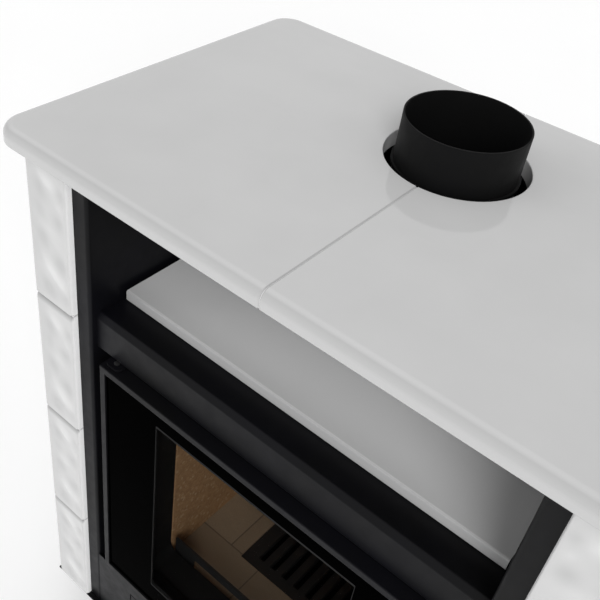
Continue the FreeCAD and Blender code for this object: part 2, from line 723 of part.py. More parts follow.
def glass_gasket():
    x, z = window_limits(WINDOW_STEP)
    return ring(x, (TAPE_Y, PANEL_Y), z, TAPE_W, WINDOW_R)


def seal_ring(y, inner, width):
    """Frame on the seal's line, from an inner half width outwards."""
    x = both(SEAL_X - inner)
    z = (DOOR_LOW + SEAL_BOTTOM + inner, DOOR_TOP - SEAL_TOP - inner)
    return ring(x, y, z, width, SEAL_R - inner)


def door_panel():
    """Inner door: a plate with the window, the rope channel, two hinge blocks and the latch boss."""
    edge = SHEET + PLAY
    z = (DOOR_LOW + edge, DOOR_TOP - edge)
    plate = block(both(DOOR_X - edge), (PANEL_Y, PANEL_BACK), z)
    window_x, window_z = window_limits(WINDOW_STEP)
    plate = plate.cut(rounded_block(window_x, (PANEL_Y, PANEL_BACK), window_z, WINDOW_R, Y_AXIS))
    channel_y = (PANEL_BACK, PANEL_BACK + CHANNEL_D)
    half = ROPE_W / 2 + PLAY
    walls = [seal_ring(channel_y, half + SHEET, SHEET), seal_ring(channel_y, -half, SHEET)]
    block_x = (HINGE_X - HINGE_BLOCK_W / 2, HINGE_X + HINGE_BLOCK_W / 2)
    block_y = (PANEL_BACK, PANEL_BACK + HINGE_BLOCK_D)
    blocks = [block(block_x, block_y, (z[1] - HINGE_BLOCK_H, z[1])),
              block(block_x, block_y, (z[0], z[0] + HINGE_BLOCK_H))]
    boss = Part.makeCylinder(BOSS_R, RIM_BACK - PANEL_BACK, point(LATCH_X, PANEL_BACK, LATCH_Z), Y_AXIS)
    panel = plate.fuse(walls + blocks + [boss]).removeSplitter()
    bores = [Part.makeCylinder(PIN_R + RUN, HINGE_BLOCK_H, point(HINGE_X, HINGE_Y, z[1] - HINGE_BLOCK_H)),
             Part.makeCylinder(PIN_R + RUN, HINGE_BLOCK_H, point(HINGE_X, HINGE_Y, z[0])),
             Part.makeCylinder(SHAFT_R + RUN, RIM_BACK - PANEL_Y, point(LATCH_X, PANEL_Y, LATCH_Z), Y_AXIS)]
    return panel.cut(bores)


def door_gasket():
    """Sealing rope in the channel, rounded where it meets the fire box mouth."""
    rope = seal_ring((PANEL_BACK, THROAT_Y - PLAY), ROPE_W / 2, ROPE_W)
    back = [e for e in rope.Edges if e.BoundBox.YMin > THROAT_Y - PLAY - TOUCH]
    return rope.makeFillet(ROPE_R, back)


def hinge_tongue(low, flange_low):
    """Bracket with a level tongue for the pin and an upright flange on the fire box front."""
    x = (HINGE_X - TONGUE_W / 2, HINGE_X + TONGUE_W / 2)
    tongue = block(x, (HINGE_Y - TONGUE_NOSE, FIRE_Y), (low, low + TONGUE_T))
    nose = [e for e in tongue.Edges if straight_along(e, Z_AXIS)
            and ends_pass(e, lambda p: p.y < HINGE_Y - TONGUE_NOSE + TOUCH)]
    tongue = tongue.makeFillet(TONGUE_NOSE - CLEAR, nose)
    flange = block(x, (FIRE_Y - FLANGE_T, FIRE_Y), (flange_low, flange_low + FLANGE_H))
    bracket = tongue.fuse(flange).removeSplitter()
    return bracket.cut(Part.makeCylinder(PIN_R, TONGUE_T, point(HINGE_X, HINGE_Y, low)))


def hinge_brackets():
    upper = hinge_tongue(UPPER_TONGUE, UPPER_TONGUE + TONGUE_T)
    return Part.makeCompound([upper, hinge_tongue(LOWER_TONGUE, LOWER_TONGUE + TONGUE_T)])


def hinge_pins():
    """Two pins, riveted in their tongues. The lower one has a collar that carries the door."""
    low = DOOR_TOP - PIN_DEPTH
    upper = Part.makeCylinder(PIN_R, LINTEL_LOW - PLAY - low, point(HINGE_X, HINGE_Y, low))
    foot = LOWER_TONGUE
    lower = Part.makeCylinder(PIN_R, DOOR_LOW + PIN_DEPTH - foot, point(HINGE_X, HINGE_Y, foot))
    collar_low = LOWER_TONGUE + TONGUE_T
    collar_h = DOOR_LOW + SHEET + PLAY - RUN - collar_low
    collar = Part.makeCylinder(PIN_COLLAR_R, collar_h, point(HINGE_X, HINGE_Y, collar_low))
    return Part.makeCompound([upper, lower.fuse(collar)])


def latch_lever():
    """Outside lever that hangs down, with its hub and the shaft through the door."""
    y = (DOOR_Y - LEVER_STAND_OFF - LEVER_T, DOOR_Y - LEVER_STAND_OFF)
    bar = tapered_bar(-LEVER_L, LEVER_HUB_R, LEVER_TIP_R, y)
    bar = bar.makeChamfer(LEVER_CHAMFER, [e for e in bar.Edges if not straight_along(e, Y_AXIS)])
    start = point(LATCH_X, y[0] + LEVER_CHAMFER, LATCH_Z)
    hub = Part.makeCylinder(LEVER_HUB_R - LEVER_CHAMFER, DOOR_Y - PLAY - start.y, start, Y_AXIS)
    shaft = Part.makeCylinder(SHAFT_R, HOOK_Y + HOOK_T - start.y, start, Y_AXIS)
    return bar.fuse([hub, shaft]).removeSplitter()


def latch_hook():
    """Arm on the inner end of the shaft. It swings behind the keeper as the lever is raised."""
    arm = tapered_bar(HOOK_L, HOOK_HUB_R, HOOK_TIP_R, (HOOK_Y, HOOK_Y + HOOK_T))
    return arm.cut(Part.makeCylinder(SHAFT_R, HOOK_T, point(LATCH_X, HOOK_Y, LATCH_Z), Y_AXIS))


def latch_keeper():
    """Angle on the right post. Its lip stands in front of the raised hook."""
    z = (LATCH_Z - KEEPER_DROP, LATCH_Z - KEEPER_DROP + KEEPER_H)
    lip_y = (HOOK_Y - HOOK_LAP - KEEPER_T, HOOK_Y - HOOK_LAP)
    foot = block((NICHE_X - KEEPER_T, NICHE_X), (lip_y[0], FIRE_Y), z)
    lip = block((DOOR_X + KEEPER_GAP, NICHE_X - KEEPER_T), lip_y, z)
    return foot.fuse(lip).removeSplitter()


# Ash drawer and air controls
def ash_drawer():
    """Open box with a front that fills the panel's opening, and a bar pull."""
    x, z = drawer_front_limits()
    face = block(x, (CHEEK_Y, CHEEK_BACK), z)
    box_x = both(DRAWER_X)
    grate_y = grate_limits()[1]
    box_y = (CHEEK_BACK, grate_y[1] + DRAWER_BEHIND)
    box_z = (DRAWER_LOW, DRAWER_FRONT_TOP - DRAWER_HEADROOM)
    box = block(box_x, box_y, box_z)
    box = box.cut(block(grown(box_x, -SHEET), grown(box_y, -SHEET), (box_z[0] + SHEET, box_z[1])))
    middle = (z[0] + z[1]) / 2
    bar_y = CHEEK_Y - PULL_OUT
    pull = [Part.makeCylinder(PULL_R, PULL_W, point(-PULL_W / 2, bar_y, middle), X_AXIS)]
    for post in both(PULL_W / 2 - PULL_POST_INSET):
        pull.append(Part.makeCylinder(PULL_POST_R, PULL_OUT, point(post, bar_y, middle), Y_AXIS))
    return face.fuse([box] + pull).removeSplitter()


def air_box():
    """Duct under the fire box floor, with a port behind each air slide and an outlet over it."""
    x = both(AIR_BOX_X)
    y = (AIR_BOX_Y, FIRE_IN_Y + AIR_BOX_LAP)
    z = (LOWER_TOP - AIR_BOX_H, LOWER_TOP)
    duct = block(x, y, z).cut(block(grown(x, -SHEET), grown(y, -SHEET), grown(z, -SHEET)))
    port_z = (SLIDE_Z - AIR_PORT_H / 2, SLIDE_Z + AIR_PORT_H / 2)
    cuts = air_outlets((z[1] - SHEET, z[1]))
    for middle in slide_centres():
        port_x = (middle - AIR_PORT_W / 2, middle + AIR_PORT_W / 2)
        cuts.append(block(port_x, (y[0], y[0] + SHEET), port_z))
    return duct.cut(cuts)


def air_slide(middle):
    """Plate that covers a port, moved by a knob on a stem through the panel."""
    x = (middle - SLIDE_W / 2, middle + SLIDE_W / 2)
    plate = block(x, (SLIDE_Y, SLIDE_Y + SHEET), (SLIDE_Z - SLIDE_H / 2, SLIDE_Z + SLIDE_H / 2))
    knob_y = CHEEK_Y - KNOB_STAND_OFF - KNOB_T
    knob = Part.makeCylinder(KNOB_R, KNOB_T, point(middle, knob_y, SLIDE_Z), Y_AXIS)
    knob = knob.makeChamfer(KNOB_CHAMFER, [e for e in knob.Edges if isinstance(e.Curve, Part.Circle)])
    stem_y = knob_y + KNOB_T / 2
    stem = Part.makeCylinder(STEM_R, SLIDE_Y - stem_y, point(middle, stem_y, SLIDE_Z), Y_AXIS)
    return plate.fuse([knob, stem]).removeSplitter()


# Pieces by name
def pieces():
    named = {}

    def pair(name, left):
        named[name.format("left")] = left
        named[name.format("right")] = mirrored(left)

    pair("top_plate_{}", top_plate())
    for row in range(1, TILE_ROWS + 1):
        pair("corner_tile_{}_" + str(row), corner_tile(row))
        pair("side_tile_{}_" + str(row), side_tile(row))
    pair("side_panel_{}", side_panel())
    pair("cheek_{}", cheek())
    pair("firebox_{}", firebox_side())
    pair("lining_{}", lining_side())
    slide_left, slide_right = slide_centres()
    named["primary_air_slide"] = air_slide(slide_left)
    named["secondary_air_slide"] = air_slide(slide_right)
    for make in (niche_shelf, base_frame, levelling_feet, back_panel, air_spigot, top_deck, lintel,
                 niche_back, lower_panel, firebox_front, firebox_back, firebox_roof, firebox_floor,
                 firebox_stand, hearth_bricks, grate, lining_back, baffle, log_retainer, flue_collar,
                 door_rim, door_glass, glass_gasket, door_panel, door_gasket, hinge_brackets, hinge_pins,
                 latch_lever, latch_hook, latch_keeper, ash_drawer, air_box):
        named[make.__name__] = make()
    return named


os.makedirs("parts", exist_ok=True)
for node, shape in pieces().items():
    shape.exportStep(os.path.join("parts", node + ".step"))
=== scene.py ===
import bpy
import json
import math
import numpy as np
from mathutils import Matrix, Vector


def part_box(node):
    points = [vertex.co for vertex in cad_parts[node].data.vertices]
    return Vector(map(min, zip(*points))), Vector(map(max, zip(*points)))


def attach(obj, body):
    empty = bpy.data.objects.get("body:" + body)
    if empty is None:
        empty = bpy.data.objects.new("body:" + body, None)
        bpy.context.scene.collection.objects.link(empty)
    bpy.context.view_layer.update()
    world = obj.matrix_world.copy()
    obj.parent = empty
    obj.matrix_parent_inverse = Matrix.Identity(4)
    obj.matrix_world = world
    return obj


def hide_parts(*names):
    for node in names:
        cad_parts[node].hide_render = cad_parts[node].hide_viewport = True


# Looks of the tiled wood stove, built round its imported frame. Metres, +Z up, front towards -Y.
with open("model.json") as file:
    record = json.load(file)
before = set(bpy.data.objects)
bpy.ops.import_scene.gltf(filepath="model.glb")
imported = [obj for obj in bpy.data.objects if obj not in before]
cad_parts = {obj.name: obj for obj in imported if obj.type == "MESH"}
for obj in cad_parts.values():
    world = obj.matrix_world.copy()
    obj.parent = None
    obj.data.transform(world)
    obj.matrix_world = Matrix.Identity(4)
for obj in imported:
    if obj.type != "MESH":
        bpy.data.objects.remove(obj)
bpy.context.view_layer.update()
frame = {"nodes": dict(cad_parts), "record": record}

# Picture
IMAGE_PX = 600
FOCAL_PX = 831.8
SENSOR_MM = 36.0
CAMERA_AT = (0.3425, -0.7415, 1.4846)
CAMERA_TURN = math.radians(38.02)
CAMERA_DOWN = math.radians(38.44)
CAMERA_ROLL = math.radians(6.18)
CAMERA_SHIFT = (0.10, -0.05)

# Light
SKY_HORIZON = 1.0
SKY_LOW = 0.85
SKY_LOW_AT = 0.06
SKY_HIGH = 0.6
SKY_HIGH_AT = 0.5
FLOOR_HALF = 20.0
LIGHT_SPREAD = math.radians(35)

# Turn to the right, lift and power of each far light
KEY_LIGHT = (math.radians(38), math.radians(33), 2.1)
FILL_LIGHT = (math.radians(-55), math.radians(25), 0.5)

# Sockets of the mix node that hold colours
MIX_FIRST = 6
MIX_SECOND = 7
MIX_RESULT = 2

# Ranges that most of a noise and most of a slow cloud lie in
NOISE_SPAN = (0.3, 0.7)
CLOUD_SPAN = (0.35, 0.65)

# Upward share of a face's direction where the glaze gets painted shade: over an edge and on an upright face
SHADED_EDGE_FACING = (0.8, 0.995)
SHADED_UPRIGHT_FACING = (0.0, 0.33)

# Angle from which an edge is drawn sharp
SHARP = math.radians(40)

# Top plates and shelf
PLATE_EDGE_R = 0.012
FLUE_HOLE_R = 0.0875
FLUE_HOLE_EDGE_R = 0.0015
SEAL_HALF = 0.0005
SEAL_SINK = 0.0012
SEAL_STEPS = 8
SHELF_LIGHT_D = 0.092

# Tiles
SIDES = (("left", 1), ("right", -1))
TILE_ROWS = 4
TILE_CORNER_R = 0.015
TILE_EDGE_D = 0.005
TILE_EDGE_STEPS = 6
TILE_STEP = 0.0025
EDGE_END = 0.003
EDGE_SIDE = 0.005
EDGE_TOP = 0.008
EDGE_FOOT = 0.0025
JOINT_SINK = 0.0045

# Bend of a straight outline, which leaves all of it far from a corner
NO_BEND = -1.0

# Relief of the tiles, with the share of it that is left at a tile's rim and round its corner
STROKE_TILT = math.radians(40)
STROKE_SPREAD = math.radians(10)
RELIEF_MOST = 0.004
RIM_SHARE = 0.3
RIM_D = 0.012
CORNER_SHARE = 0.1
CORNER_D = 0.02
TOUCH_SEED = 100

# Random strokes of a mould and touches of each tile: number to the square metre, spread along and across the
# stroke, and greatest height
STROKES = (700, (0.008, 0.014), (0.0060, 0.0095), 0.0026)
TOUCHES = (2600, (0.006, 0.014), (0.0030, 0.0055), 0.00028)

# Painted light and shade on the tiles' glaze: the relief where its painted shade is darkest and its painted
# highlight lightest, how much shade is painted round the corner, how dark the painted shade on the top edge
# is and how fast the painted light on the inner end fades
RELIEF_SHADE_SPAN = (-0.0014, 0.0014)
CORNER_SHADE = 0.0007
CORNER_SHADE_D = 0.02
TOP_EDGE_SHADE = 0.68
END_LIGHT_FADE = 4

# Ridges and hollows of the mould on the front of a corner tile: share of the width from the outer corner,
# drop from the top, spread along and across the stroke, and height
MOULD = (
    (0.61, 0.028, 0.0130, 0.0065, 0.0015),
    (0.35, 0.042, 0.0135, 0.0085, -0.0018),
    (0.91, 0.037, 0.0075, 0.0060, -0.0014),
    (0.86, 0.057, 0.0060, 0.0045, 0.0007),
    (0.33, 0.073, 0.0100, 0.0075, -0.0011),
    (0.79, 0.081, 0.0085, 0.0075, -0.0013),
    (0.60, 0.097, 0.0120, 0.0060, 0.0006),
    (0.37, 0.117, 0.0115, 0.0095, -0.0017),
    (0.79, 0.145, 0.0105, 0.0090, -0.0016),
    (0.61, 0.164, 0.0140, 0.0065, 0.0018),
    (0.84, 0.176, 0.0080, 0.0055, 0.0009),
    (0.43, 0.196, 0.0145, 0.0110, -0.0018),
    (0.91, 0.198, 0.0080, 0.0070, -0.0010),
)

# Door glass
WINDOW_HALF = 0.157
WINDOW_FOOT = 0.060
WINDOW_HEAD = 0.039
PRINT_T = 0.0001
PRINT_R = 0.006
WINDOW_R = 0.0015
LINE_W = 0.0009
LINE_H = 0.0034
RING_STEPS = 8

# Sealing rope. A power of the sine and cosine squares its section.
ROPE_STEP = 0.0018
ROPE_SIDES = 24
ROPE_TURN = 0.022
ROPE_STRANDS = 4
ROPE_GROOVE = 0.0006
ROPE_POWER = 0.6
ROPE_HALF_W = 0.0064
ROPE_CORNER_R = 0.018

# Back
VENT_COUNT = 12
VENT_ROWS = 2
VENT_H = 0.060
VENT_PITCH = 0.040
VENT_DROP = 0.030
HOOD_W = 0.010
HOOD_RISE = 0.0045
HOOD_LAP = 0.003
HOOD_END_R = 0.010
HOOD_T = 0.001
HOOD_STEPS = 8
SPIGOT_BORE_R = 0.048
SLAT_COUNT = 9
SLAT_PITCH = 0.0105
SLAT_D = 0.010
SLAT_T = 0.001

# Fasteners, some placed by shares of the height or half the width of their face
FORWARDS = (0, -1, 0)
BACKWARDS = (0, 1, 0)
SCREW_SIDES = 24
SCREW_R = 0.0045
SCREW_H = 0.0028
SCREW_SHARP = math.radians(30)
LEVER_SCREW_SIZE = 1.2
BACK_SCREW_INSET = 0.012
BACK_SCREW_HEIGHTS = (0.03, 0.27, 0.51, 0.75, 0.985)
BACK_TOP_SCREWS = (-0.42, 0.0, 0.42)
FLANGE_SCREWS = 4
FLANGE_SCREW_INSET = 0.0075
DOOR_SCREW_X = 0.222
DOOR_SCREW_HEIGHTS = (0.08, 0.36, 0.64, 0.92)
DOOR_FOOT_SCREWS = (-0.5, 0.0, 0.5)
DOOR_SCREW_LIFT = 0.019
DOOR_PLATE_T = 0.003

# Button head of a screw, from below its seat to the bottom of its socket: shares of the radius and height.
# The rings from SOCKET_RING on are hexagons.
SCREW_HEAD = ((1, -0.2), (1, 0.25), (0.93, 0.55), (0.78, 0.82), (0.60, 1),
              (0.50, 1), (0.48, 0.9), (0.48, 0.35))
SOCKET_RING = 5


# Node helpers
def new_material(name):
    """Material with its node tree and its main shader."""
    material = bpy.data.materials.new(name)
    material.use_nodes = True
    tree = material.node_tree
    return material, tree, tree.nodes["Principled BSDF"]


def feed(tree, socket, value):
    """Sets a socket to a constant, or links another socket to it."""
    if isinstance(value, bpy.types.NodeSocket):
        tree.links.new(value, socket)
    else:
        socket.default_value = value


def add(tree, kind, inputs=None, **settings):
    """New node with its settings and its constant or linked inputs."""
    node = tree.nodes.new(kind)
    for key, value in settings.items():
        setattr(node, key, value)
    for key, value in (inputs or {}).items():
        feed(tree, node.inputs[key], value)
    return node


def grey(value):
    return (value, value, value, 1.0)


def dimmed(colour, share):
    """Darker or lighter form of a colour."""
    return tuple(share * c for c in colour[:3]) + (1.0,)


def coordinate(tree, kind):
    """Texture coordinate of one kind."""
    return add(tree, "ShaderNodeTexCoord").outputs[kind]


def component(tree, vector, axis):
    """One of a vector's three values."""
    return add(tree, "ShaderNodeSeparateXYZ", {0: vector}).outputs[axis]


def attribute(tree, name):
    """Value that a mesh holds at its points."""
    return add(tree, "ShaderNodeAttribute", attribute_name=name).outputs["Fac"]


def place(tree, stretch=None):
    """Place on the object in metres, stretched if asked."""
    spot = coordinate(tree, "Object")
    if stretch is None:
        return spot
    return add(tree, "ShaderNodeMapping", {"Vector": spot, "Scale": stretch}).outputs["Vector"]


def noise(tree, at, scale, detail=2.0, roughness=0.5):
    inputs = {"Vector": at, "Scale": scale, "Detail": detail, "Roughness": roughness}
    return add(tree, "ShaderNodeTexNoise", inputs).outputs["Fac"]


def cells(tree, at, scale):
    return add(tree, "ShaderNodeTexVoronoi", {"Vector": at, "Scale": scale})


def spread(tree, value, span, to=(0.0, 1.0)):
    """Maps a range of a value to another range, and stops at its ends."""
    inputs = {"Value": value, "From Min": span[0], "From Max": span[1], "To Min": to[0], "To Max": to[1]}
    return add(tree, "ShaderNodeMapRange", inputs).outputs["Result"]


def blend(tree, share, first, second):
    """Colour between two colours."""
    inputs = {"Factor": share, MIX_FIRST: first, MIX_SECOND: second}
    return add(tree, "ShaderNodeMix", inputs, data_type="RGBA").outputs[MIX_RESULT]


def bump(tree, height, distance, strength, normal=None):
    inputs = {"Height": height, "Distance": distance, "Strength": strength}
    if normal is not None:
        inputs["Normal"] = normal
    return add(tree, "ShaderNodeBump", inputs).outputs["Normal"]


def from_axis(tree, x, y):
    """Distance from an upright axis."""
    inputs = {"Vector": place(tree), "Location": (-x, -y, 0), "Scale": (1, 1, 0)}
    flat = add(tree, "ShaderNodeMapping", inputs).outputs["Vector"]
    return add(tree, "ShaderNodeVectorMath", {0: flat}, operation="LENGTH").outputs["Value"]


# Materials
def flue_wall(tree):
    """Share of painted light: 1 on the shaded wall of the flue hole and 0 on the plates' upper faces."""
    low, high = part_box("flue_collar")
    reach = from_axis(tree, (low.x + high.x) / 2, (low.y + high.y) / 2)
    return spread(tree, reach, (FLUE_HOLE_R, FLUE_HOLE_R + FLUE_HOLE_EDGE_R), to=(1.0, 0.0))


def shelf_depth(tree):
    """Share of painted light, which grows from the shelf's front edge towards the back, where the niche
    shades it.
    """
    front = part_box("niche_shelf")[0].y
    return spread(tree, component(tree, place(tree), "Y"), (front, front + SHELF_LIGHT_D))


def glaze_material(name, base, cloud, edge, upright, pale, painted_light_share):
    """Glossy white glaze: faint clouds and pinholes, painted shade over edges and on upright faces,
    and painted light in one zone."""
    material, tree, shader = new_material(name)
    at = place(tree)
    clouds = spread(tree, noise(tree, at, scale=9.0, detail=4.0), CLOUD_SPAN)
    pits = spread(tree, cells(tree, at, scale=420.0).outputs["Distance"], (0.02, 0.10))
    tone = blend(tree, pits, dimmed(base, 0.86), blend(tree, clouds, base, cloud))
    facing = component(tree, coordinate(tree, "Normal"), "Z")
    # Painted shade over edges and on upright faces, set by the way each face turns
    tone = blend(tree, spread(tree, facing, SHADED_EDGE_FACING), dimmed(base, edge), tone)
    tone = blend(tree, spread(tree, facing, SHADED_UPRIGHT_FACING), dimmed(base, upright), tone)
    # Painted light in one zone, where its share is 1
    feed(tree, shader.inputs["Base Color"], blend(tree, painted_light_share(tree), tone, pale))
    fine = noise(tree, at, scale=140.0)
    feed(tree, shader.inputs["Roughness"], spread(tree, fine, NOISE_SPAN, to=(0.05, 0.10)))
    shader.inputs["IOR"].default_value = 1.6
    skin = bump(tree, noise(tree, at, scale=26.0), distance=0.0006, strength=0.08)
    feed(tree, shader.inputs["Normal"], bump(tree, fine, distance=0.0002, strength=0.08, normal=skin))
    return material


def tile_material(name, light, dark, end):
    """White glaze over the worked tile: painted shade in the hollows, painted highlight on the ridges and
    painted shade along the top edge, and painted light on the inner end."""
    material, tree, shader = new_material(name)
    at = place(tree)
    # Painted shade in the hollows and painted highlight on the ridges of the relief
    tone = blend(tree, spread(tree, attribute(tree, "relief"), RELIEF_SHADE_SPAN), dark, light)
    clouds = spread(tree, noise(tree, at, scale=14.0, detail=4.0), NOISE_SPAN, to=(0.0, 0.2))
    tone = blend(tree, clouds, tone, dark)
    # Painted shade along the top edge
    tone = blend(tree, attribute(tree, "edge"), tone, dimmed(dark, TOP_EDGE_SHADE))
    # Painted light on the inner end wall
    tone = blend(tree, attribute(tree, "end"), tone, end)
    pits = spread(tree, cells(tree, at, scale=300.0).outputs["Distance"], (0.02, 0.12))
    feed(tree, shader.inputs["Base Color"], blend(tree, pits, dimmed(light, 0.84), tone))
    fine = noise(tree, at, scale=120.0)
    feed(tree, shader.inputs["Roughness"], spread(tree, fine, NOISE_SPAN, to=(0.16, 0.26)))
    shader.inputs["IOR"].default_value = 1.5
    feed(tree, shader.inputs["Normal"], bump(tree, fine, distance=0.0003, strength=0.15))
    return material


def grout_material(name, colour):
    """Sandy joint filler."""
    material, tree, shader = new_material(name)
    sand = noise(tree, place(tree), scale=900.0, detail=3.0)
    feed(tree, shader.inputs["Base Color"], blend(tree, sand, colour, dimmed(colour, 0.8)))
    shader.inputs["Roughness"].default_value = 0.9
    feed(tree, shader.inputs["Normal"], bump(tree, sand, distance=0.0004, strength=0.6))
    return material


def coated_material(name, colour, tint, roughness, grain):
    """Black coated steel: softened edges, fine orange-peel grain, slow changes of tint and gloss."""
    material, tree, shader = new_material(name)
    at = place(tree)
    slow = spread(tree, noise(tree, at, scale=5.0, detail=3.0), CLOUD_SPAN)
    feed(tree, shader.inputs["Base Color"], blend(tree, slow, colour, tint))
    worn = noise(tree, at, scale=60.0, detail=4.0)
    gloss = spread(tree, worn, NOISE_SPAN, to=(roughness - 0.05, roughness + 0.06))
    feed(tree, shader.inputs["Roughness"], gloss)
    shader.inputs["Specular IOR Level"].default_value = 0.13
    soft = add(tree, "ShaderNodeBevel", {"Radius": 0.0008}, samples=4).outputs["Normal"]
    peel = bump(tree, noise(tree, at, scale=700.0), distance=grain, strength=0.3, normal=soft)
    feed(tree, shader.inputs["Normal"], peel)
    return material


def board_material(name, colour, dark, flake):
    """Pressed vermiculite: small flakes of several tans on a granular face."""
    material, tree, shader = new_material(name)
    at = place(tree)
    flakes = cells(tree, at, scale=230.0)
    tone = add(tree, "ShaderNodeSeparateColor", {"Color": flakes.outputs["Color"]}).outputs[0]
    base = blend(tree, spread(tree, tone, (0.1, 0.9)), dark, colour)
    base = blend(tree, spread(tree, tone, (0.88, 0.98)), base, flake)
    slow = spread(tree, noise(tree, at, scale=12.0, detail=3.0), NOISE_SPAN, to=(0.0, 0.35))
    feed(tree, shader.inputs["Base Color"], blend(tree, slow, base, dark))
    shader.inputs["Roughness"].default_value = 0.92
    rough = bump(tree, flakes.outputs["Distance"], distance=0.0008, strength=0.5)
    grain = noise(tree, at, scale=500.0, detail=3.0)
    feed(tree, shader.inputs["Normal"], bump(tree, grain, distance=0.0004, strength=0.5, normal=rough))
    return material


def brick_material(name, colour, dark, joint):
    """Fire bricks laid flat, with thin joints and a sandy face."""
    material, tree, shader = new_material(name)
    at = place(tree)
    inputs = {"Vector": at, "Color1": colour, "Color2": dark, "Mortar": joint, "Scale": 1.0,
              "Mortar Size": 0.0012, "Mortar Smooth": 0.1, "Brick Width": 0.126, "Row Height": 0.0853}
    laid = add(tree, "ShaderNodeTexBrick", inputs)
    sand = noise(tree, at, scale=420.0, detail=4.0)
    grain = spread(tree, sand, NOISE_SPAN, to=(0.0, 0.5))
    feed(tree, shader.inputs["Base Color"], blend(tree, grain, laid.outputs["Color"], dark))
    shader.inputs["Roughness"].default_value = 0.9
    face = spread(tree, laid.outputs["Fac"], (0.0, 1.0), to=(1.0, 0.0))
    sunk = bump(tree, face, distance=0.0012, strength=0.8)
    feed(tree, shader.inputs["Normal"], bump(tree, sand, distance=0.0006, strength=0.5, normal=sunk))
    return material


def iron_material(name, colour):
    """Raw casting with a sandy skin."""
    material, tree, shader = new_material(name)
    sand = noise(tree, place(tree), scale=450.0, detail=4.0, roughness=0.65)
    feed(tree, shader.inputs["Base Color"], blend(tree, sand, colour, dimmed(colour, 1.8)))
    shader.inputs["Metallic"].default_value = 0.4
    feed(tree, shader.inputs["Roughness"], spread(tree, sand, NOISE_SPAN, to=(0.55, 0.75)))
    feed(tree, shader.inputs["Normal"], bump(tree, sand, distance=0.0005, strength=0.5))
    return material


def steel_material(name, colour):
    """Brushed steel, with its scratches upright."""
    material, tree, shader = new_material(name)
    brushed = noise(tree, place(tree, stretch=(1400, 1400, 60)), scale=1.0)
    feed(tree, shader.inputs["Base Color"], blend(tree, brushed, colour, dimmed(colour, 0.7)))
    shader.inputs["Metallic"].default_value = 1.0
    feed(tree, shader.inputs["Roughness"], spread(tree, brushed, NOISE_SPAN, to=(0.28, 0.42)))
    feed(tree, shader.inputs["Normal"], bump(tree, brushed, distance=0.00008, strength=0.4))
    return material


def glass_material(name):
    """Smoked ceramic glass with faint dust."""
    material, tree, shader = new_material(name)
    dust = noise(tree, place(tree), scale=35.0, detail=5.0, roughness=0.7)
    feed(tree, shader.inputs["Base Color"], blend(tree, dust, grey(0.0002), grey(0.0006)))
    feed(tree, shader.inputs["Alpha"], spread(tree, dust, (0.3, 0.8), to=(0.25, 0.28)))
    feed(tree, shader.inputs["Roughness"], spread(tree, dust, (0.4, 0.8), to=(0.03, 0.10)))
    shader.inputs["Specular IOR Level"].default_value = 0.0
    return material


def print_material(name, colour):
    """Enamel fired on the glass."""
    material, tree, shader = new_material(name)
    haze = noise(tree, place(tree), scale=90.0, detail=3.0)
    feed(tree, shader.inputs["Base Color"], blend(tree, haze, colour, dimmed(colour, 2.0)))
    feed(tree, shader.inputs["Roughness"], spread(tree, haze, NOISE_SPAN, to=(0.10, 0.18)))
    shader.inputs["Specular IOR Level"].default_value = 0.001
    return material


def fibre_material(name, colour):
    """Glass fibre rope or tape."""
    material, tree, shader = new_material(name)
    thread = noise(tree, place(tree), scale=1500.0)
    feed(tree, shader.inputs["Base Color"], blend(tree, thread, colour, dimmed(colour, 0.55)))
    shader.inputs["Roughness"].default_value = 0.85
    shader.inputs["Sheen Weight"].default_value = 0.2
    feed(tree, shader.inputs["Normal"], bump(tree, thread, distance=0.0004, strength=0.7))
    return material


def floor_material(name):
    """Plain pale studio floor."""
    material, tree, shader = new_material(name)
    slow = noise(tree, place(tree), scale=1.5, detail=3.0)
    feed(tree, shader.inputs["Base Color"], blend(tree, slow, grey(0.94), grey(0.96)))
    shader.inputs["Roughness"].default_value = 0.8
    shader.inputs["Specular IOR Level"].default_value = 0.1
    return material


